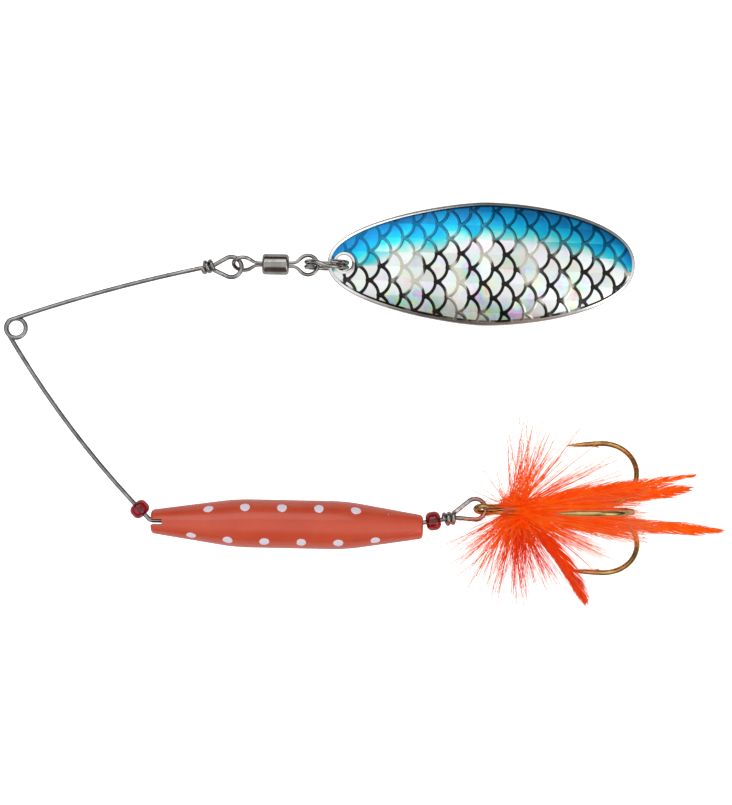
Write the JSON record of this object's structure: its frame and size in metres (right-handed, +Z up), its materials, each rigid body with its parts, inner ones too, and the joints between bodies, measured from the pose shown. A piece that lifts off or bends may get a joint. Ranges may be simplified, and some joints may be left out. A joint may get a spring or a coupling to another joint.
{
  "type": "wire-arm spinner lure",
  "caption": "Wire-arm fishing spinner: a bent wire carries a lead body with glass beads, a swivelled fish-scale blade and a feathered treble hook.",
  "frame": {"origin": "under the middle of the box, on the surface that the lure lies on", "axes": "+X from the line tie to the hook, along the body's axis; +Y from the body to the blade; +Z up from the surface the lure lies on"},
  "size_m": [0.1376, 0.0752, 0.0231],
  "materials": {
    "stainless_wire": "drawn, softly shiny",
    "red_glass": "clear polished red glass",
    "body_paint": "glossy salmon red with white dots, over lead",
    "swivel_metal": "black nickel, polished",
    "blade_metal": "polished steel",
    "scale_foil": "holographic film with a scale print, blue to silver",
    "hook_bronze": "lacquered bronze",
    "orange_thread": "wound thread, lacquered",
    "orange_feather": "dyed hackle, orange",
    "red_feather": "dyed hackle, deep red"
  },
  "bodies": {
    "wire_frame": {"wire_form": "stainless_wire"},
    "front_eye": {"swivel_front_eye": "swivel_metal"},
    "barrel": {"swivel_barrel": "swivel_metal"},
    "rear_eye": {"swivel_rear_eye": "swivel_metal"},
    "ring": {"split_ring": "swivel_metal"},
    "blade": {"blade": "blade_metal", "blade_foil": "scale_foil"},
    "body": {"body_weight": "body_paint"},
    "front_bead": {"front_bead": "red_glass"},
    "rear_bead": {"rear_bead": "red_glass"},
    "treble": {"hook_pair": "hook_bronze", "hook_third": "hook_bronze", "thread_wrap": "orange_thread", "tail_feather": "orange_feather", "upper_feather": "orange_feather", "thin_feather": "orange_feather", "lower_feather": "red_feather", "hackle_low": "red_feather", "hackle_front": "orange_feather", "hackle_high": "orange_feather", "hackle_crown": "orange_feather"}
  },
  "joints": [
    {"name": "swivel_swing", "type": "hinge", "parent": "wire_frame", "child": "front_eye", "pos_m": [-0.02371, 0.02434, 0.00174], "axis": [0, 1, 0], "range_deg": [-30, 75]},
    {"name": "barrel_spin", "type": "hinge", "parent": "front_eye", "child": "barrel", "pos_m": [-0.0172, 0.025, 0.00207], "axis": [1, 0, 0], "continuous": true},
    {"name": "rear_eye_spin", "type": "hinge", "parent": "barrel", "child": "rear_eye", "pos_m": [-0.01468, 0.025, 0.00207], "axis": [1, 0, 0], "continuous": true},
    {"name": "ring_swing", "type": "hinge", "parent": "rear_eye", "child": "ring", "pos_m": [-0.00918, 0.025, 0.00207], "axis": [0, 1, 0], "range_deg": [-20, 95]},
    {"name": "blade_swing", "type": "hinge", "parent": "ring", "child": "blade", "pos_m": [-0.00741, 0.025, 0.00437], "axis": [0, 1, 0], "range_deg": [-90, 20]},
    {"name": "body_spin", "type": "hinge", "parent": "wire_frame", "child": "body", "pos_m": [-0.01391, -0.0244, 0.00464], "axis": [1, 0, 0], "continuous": true},
    {"name": "front_bead_spin", "type": "hinge", "parent": "wire_frame", "child": "front_bead", "pos_m": [-0.04191, -0.02213, 0.0045], "axis": [0.7037, -0.7092, 0.0421], "continuous": true},
    {"name": "rear_bead_spin", "type": "hinge", "parent": "wire_frame", "child": "rear_bead", "pos_m": [0.01384, -0.02322, 0.00457], "axis": [0.9848, 0.1733, -0.0103], "continuous": true},
    {"name": "treble_swing", "type": "hinge", "parent": "wire_frame", "child": "treble", "pos_m": [0.02371, -0.02081, 0.00443], "axis": [0, 1, 0], "range_deg": [-75, 75]}
  ]
}
